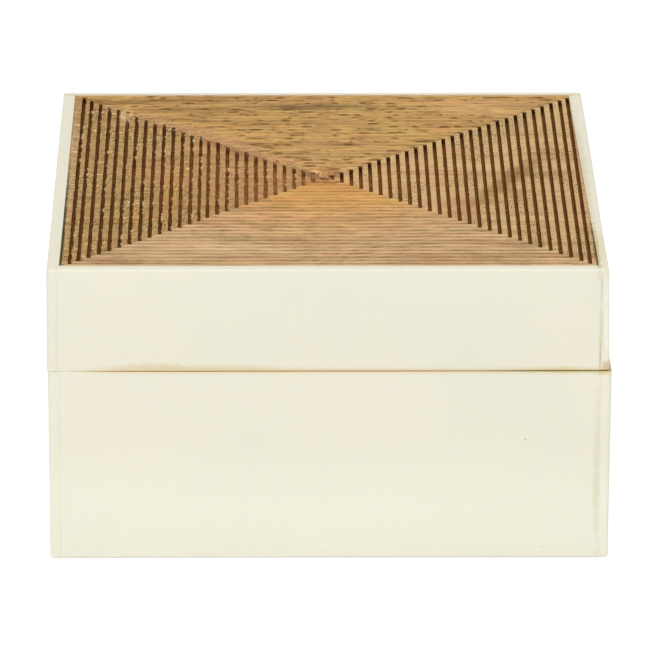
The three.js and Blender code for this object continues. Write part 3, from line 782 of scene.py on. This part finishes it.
def resin_sheet(part, side):
    """A resin sheet that fills its node's place, as a section carried along its length. The
    section is a rectangle with a quarter circle at each corner. At the ends it is drawn in by a
    quarter circle, and at the seam its edge follows the gap. The lid's side sheets are sanded
    thinner to the top and have a lip over the carved board. In the section, s runs outwards
    through the sheet's thickness and z runs up."""
    node = f"{part}_{side}_sheet"
    low, high = box(node)
    length_axis = 0 if side == "front" else 1
    depth_axis = 1 - length_axis
    outward = 1 if side == "right" else -1
    first, last = low[length_axis], high[length_axis]
    corner = HIDDEN_EDGE if side == "front" else OUTER_CORNER
    bend = corner * (1 - np.cos(np.linspace(0, math.pi / 2, 7)))
    lipped = part == "lid" and side != "front"
    between = np.arange(first + corner + 1, last - corner, SHEET_STEP)
    between = np.union1d(between, np.outer([-1, 1], LIP_END)) if lipped else between
    stations = np.concatenate([first + bend, between, (last - bend)[::-1]])

    gap = seam_gap(part, stations if side == "front" else np.full(len(stations), SIDE_SEAM_FROM * outward))
    if side != "front":
        gap = gap + np.maximum(stations - HINGE_AXIS_Y, 0) * BACK_BEVEL
    top_radius, bottom_radius = (TOP_EDGE, SEAM_EDGE) if part == "lid" else (SEAM_EDGE, FOOT_EDGE)
    short = SHORT_END * smoothstep(*(first + SHORT_WITHIN), stations) * (part == "lid") * (side == "right")
    bottom = SEAM_Z + gap + short if part == "lid" else low[2]
    top = high[2] if part == "lid" else SEAM_Z - gap
    if side != "front":
        top = top - drawn_in(stations, first, last, top_radius)
        bottom = bottom + drawn_in(stations, first, last, bottom_radius)
    back, face = sorted((outward * low[depth_axis], outward * high[depth_axis]))
    face = face - drawn_in(stations, first, last, corner)
    thin, lip = 0, 0
    if lipped:
        at_back, at_front = SANDED_LEFT if side == "left" else SANDED_RIGHT
        thin = at_back + (at_front - at_back) * smoothstep(*SANDED_BETWEEN, stations)
        lip = lip_over(outward, stations) + BOARD_CLEARANCE - OPEN_JOINT
        lip = np.where(np.abs(stations) < max(LIP_END), lip, NO_LIP)

    # Corners in turn: outer top, inner top, inner bottom, outer bottom
    radius = np.array([top_radius, LIP_EDGE, HIDDEN_EDGE, bottom_radius])
    edges = (face - thin, back - lip, back, face - SANDED_BELOW * thin, top, bottom)
    top_face, top_back, back, face, top, bottom = (np.broadcast_to(edge, len(stations)) for edge in edges)
    s = np.stack([top_face, top_back, back, face], -1) + radius * [-1, 1, 1, -1]
    z = np.stack([top, top, bottom, bottom], -1) + radius * [-1, -1, 1, 1]
    angle = (np.arange(4)[:, None] + np.linspace(0, 1, 5)) * math.pi / 2
    s = (s[..., None] + radius[:, None] * np.cos(angle)).reshape(len(stations), -1)
    z = (z[..., None] + radius[:, None] * np.sin(angle)).reshape(len(stations), -1)
    if lipped:
        # The lip's foot, between the inner top corner and the inner bottom one
        after = 2 * angle.shape[1]
        s = np.insert(s, [after, after], np.stack([top_back, back], -1), axis=1)
        z = np.insert(z, [after, after], LIP_FOOT, axis=1)
    count = s.shape[1]
    points = np.zeros((len(stations), count, 3))
    points[..., length_axis] = stations[:, None]
    points[..., depth_axis] = outward * s
    points[..., 2] = z
    ends = [np.arange(count)[None, :], (len(stations) - 1) * count + np.arange(count)[None, :]]
    faces = [grid_quads(len(stations), count, closed=True), *ends]
    points = points.reshape(-1, 3)
    piece = mesh_object(f"{part}_{side}_resin", points, faces, resin, sharpest_degrees=50)
    stand_for(piece, node)


for part in ("base", "lid"):
    for side in ("front", "left", "right"):
        resin_sheet(part, side)


def round_edges(work, edges, radius, segments):
    """Bevels these edges of a mesh to a radius in millimetres."""
    bmesh.ops.bevel(
        work, geom=edges, offset=radius * MM, offset_type="OFFSET", segments=segments, profile=0.5,
        affect="EDGES", clamp_overlap=True)


def eased_copy(node, material, radius, rounded=None):
    """A CAD piece with its sharp edges eased by a bevel. Its flat faces are first made whole. An
    edge along X can be rounded further: rounded gives its place along Y and Z, and its radius."""
    mesh = frame["nodes"][node].data.copy()
    work = bmesh.new()
    work.from_mesh(mesh)
    bmesh.ops.remove_doubles(work, verts=work.verts, dist=0.002 * MM)
    bmesh.ops.dissolve_limit(work, angle_limit=math.radians(1), verts=work.verts, edges=work.edges)
    if rounded:
        *line, further = rounded
        line = np.multiply(line, MM)
        on_line = {vertex for vertex in work.verts if np.allclose(vertex.co[1:], line, atol=0.01 * MM)}
        along = [edge for edge in work.edges if on_line.issuperset(edge.verts)]
        round_edges(work, along, further, segments=5)
    sharp = [edge for edge in work.edges if edge.calc_face_angle(0) > math.radians(35)]
    round_edges(work, sharp, radius, segments=2)
    work.to_mesh(mesh)
    work.free()
    mesh.materials.clear()
    mesh.materials.append(material)
    tidy_mesh(mesh, sharpest_degrees=40)
    piece = new_object(f"{node}_eased", mesh)
    piece.modifiers.new("flat faces shade flat", "WEIGHTED_NORMAL").keep_sharp = True
    stand_for(piece, node)


BACK_TOP_EDGE = (BACK_FACE_Y, PANEL_TOP, TOP_EDGE)
BACK_FOOT_EDGE = (BACK_FACE_Y, box("base_back_sheet")[0][2], FOOT_EDGE)
eased_copy("lid_back_sheet", resin, BACK_SHEET_EDGE, BACK_TOP_EDGE)
eased_copy("base_back_sheet", resin, BACK_SHEET_EDGE, BACK_FOOT_EDGE)
for part in ("base", "lid"):
    for side in SIDES:
        eased_copy(f"{part}_{side}_wall", fibreboard, BOARD_EDGE)
eased_copy("base_floor_board", fibreboard, BOARD_EDGE)
eased_copy("lid_top_board", fibreboard, BOARD_EDGE)

for hand in ("left", "right"):
    eased_copy(f"{hand}_hinge_pin", brass, TURNED_EDGE)
    for part in ("base", "lid"):
        eased_copy(f"{hand}_hinge_{part}_leaf", brass, LEAF_EDGE)
        for number in (1, 2):
            eased_copy(f"{hand}_hinge_{part}_screw_{number}", brass, TURNED_EDGE)


def cut_felt(length, width, thickness):
    """A felt sheet as it is cut: two grids over its length and width, one for each side, that
    close in a half circle round the edge and rise and fall a little. Gives its points as places
    along, across and out of the sheet, and its faces."""
    edge = thickness / 2
    arc = edge * (1 - np.cos(np.linspace(0, math.pi / 2, 5)))[:-1]
    s, v = (
        np.concatenate([arc, np.linspace(edge, total - edge, int(total / FELT_STEP)), (total - arc)[::-1]])
        for total in (length, width)
    )
    s, v = s[:, None], v[None, :]
    inset = np.maximum(drawn_in(s, 0, length, edge), drawn_in(v, 0, width, edge))
    fluff = np.minimum(FLUFF * rough(s / TUFT, v / TUFT, 91) - FLUFF, 0) * (inset == 0)
    sides = [np.stack(np.broadcast_arrays(s, v, sign * (edge - inset + fluff)), -1) for sign in (1, -1)]
    rows, columns = inset.shape
    faces = [grid_quads(rows, columns), grid_quads(rows, columns, rows * columns)[:, ::-1]]
    return np.concatenate(sides).reshape(-1, 3), faces


def flat_felt(name, node):
    """A felt sheet that lies level and fills its node."""
    low, high = box(node)
    length, width, thickness = high - low
    points, faces = cut_felt(length, width, thickness)
    points = points + [low[0], low[1], low[2] + thickness / 2]
    piece = mesh_object(name, points, faces, felt, sharpest_degrees=60)
    stand_for(piece, node)


def felt_strip(name, node):
    """A felt strip glued once round the inside of the walls. Its length follows a square with
    rounded corners: each side runs straight and then turns by a quarter circle. Its ends come
    together at a back corner."""
    low, high = box(node)
    bend = STRIP_BEND
    line = (high[0] - low[0] - STRIP_THICKNESS) / 2
    straight = 2 * (line - bend)
    quarter = straight + bend * math.pi / 2
    length, width = 4 * quarter - STRIP_ENDS_APART, high[2] - low[2]
    points, faces = cut_felt(length, width, STRIP_THICKNESS)
    s, v, w = points.T
    side = np.clip(np.floor(s / quarter), 0, 3)
    rest = s - side * quarter
    turned = np.maximum(rest - straight, 0) / bend
    x = np.minimum(rest, straight) - straight / 2 + (bend + w) * np.sin(turned)
    y = line - bend + (bend + w) * np.cos(turned)
    turn = -side * math.pi / 2
    middle = (low[0] + high[0]) / 2
    points = np.stack([
        middle + x * np.cos(turn) - y * np.sin(turn), x * np.sin(turn) + y * np.cos(turn), v + low[2]
    ], -1)
    piece = mesh_object(name, points, faces, felt, sharpest_degrees=60)
    stand_for(piece, node)


flat_felt("base_floor_felt", "base_floor_lining")
flat_felt("base_foot_felt_sheet", "base_foot_felt")
flat_felt("lid_top_felt", "lid_top_lining")
felt_strip("base_wall_felt", "base_wall_lining")
felt_strip("lid_wall_felt", "lid_wall_lining")


def seen_rays(tree):
    """One for rays from the camera, from gloss and through glass, and nought for the rest."""
    path = add(tree, "ShaderNodeLightPath", {})
    seen = {0: path["Is Camera Ray"], 1: path["Is Glossy Ray"]}
    seen = add(tree, "ShaderNodeMath", seen, operation="MAXIMUM")[0]
    return add(tree, "ShaderNodeMath", {0: seen, 1: path["Is Transmission Ray"]}, operation="MAXIMUM")[0]


def white_floor():
    """A pale matt floor that shows white where the light reaches it, and keeps the shadow."""
    material, tree, *_ = new_material("white studio floor")
    glow = {0: seen_rays(tree), 1: FLOOR_GLOW}
    surface = add(tree, "ShaderNodeBsdfPrincipled", {
        "Base Color": "#F0F0EE", "Roughness": 0.9, "Specular IOR Level": 0.0, "Emission Color": "#FFFFFF",
        "Emission Strength": add(tree, "ShaderNodeMath", glow, operation="MULTIPLY")[0],
    })
    add(tree, "ShaderNodeOutputMaterial", {"Surface": surface["BSDF"]})
    mesh = bpy.data.meshes.new("floor")
    corners = [(x * FLOOR_HALF, y * FLOOR_HALF, 0) for x, y in ((-1, -1), (1, -1), (1, 1), (-1, 1))]
    mesh.from_pydata(corners, [], [(0, 1, 2, 3)])
    mesh.materials.append(material)
    floor = new_object("floor", mesh)


def studio_world():
    """An even surround. It is white to the eye and gives the object a softer light."""
    world = bpy.data.worlds.new("studio")
    bpy.context.scene.world = world
    world.use_nodes = True
    tree = world.node_tree
    tree.nodes.clear()
    strength = {"Value": seen_rays(tree), "To Min": WORLD_LIGHT, "To Max": 1.0}
    strength = add(tree, "ShaderNodeMapRange", strength)[0]
    light = add(tree, "ShaderNodeBackground", {"Color": "#FFFFFF", "Strength": strength})[0]
    add(tree, "ShaderNodeOutputWorld", {"Surface": light})


def softbox(name, place, size, power):
    """A square lamp that faces the box."""
    lamp = bpy.data.lights.new(name, "AREA")
    lamp.shape = "SQUARE"
    lamp.size = size
    lamp.energy = power
    holder = new_object(name, lamp)
    holder.location = place
    holder.rotation_euler = (Vector(BOX_MIDDLE) - Vector(place)).to_track_quat("-Z", "Y").to_euler()
    holder.visible_camera = False


def camera():
    """A long lens on the box, from straight ahead and a little above."""
    data = bpy.data.cameras.new("camera")
    data.lens = CAMERA_LENS
    data.sensor_width = 36
    data.clip_start = 0.1
    data.clip_end = 50
    holder = new_object("camera", data)
    swung = Matrix.Rotation(CAMERA_AZIMUTH, 3, "Z") @ Matrix.Rotation(-CAMERA_ELEVATION, 3, "X")
    back = swung @ Vector((0, -1, 0))
    right = Vector((0, 0, 1)).cross(back).normalized()
    level = Matrix((right, back.cross(right), back)).transposed()
    turned = level @ Matrix.Rotation(CAMERA_ROLL, 3, "Z")
    holder.matrix_world = Matrix.Translation(Vector(CAMERA_TARGET) + back * CAMERA_DISTANCE) @ turned.to_4x4()
    bpy.context.scene.camera = holder


camera()
white_floor()
studio_world()
softbox("front softbox", (-0.4, -2.2, 1.2), 1.6, 22.5)
softbox("top softbox", (0.1, 0.2, 2.4), 1.8, 19)

bpy.context.scene.view_settings.view_transform = "Standard"
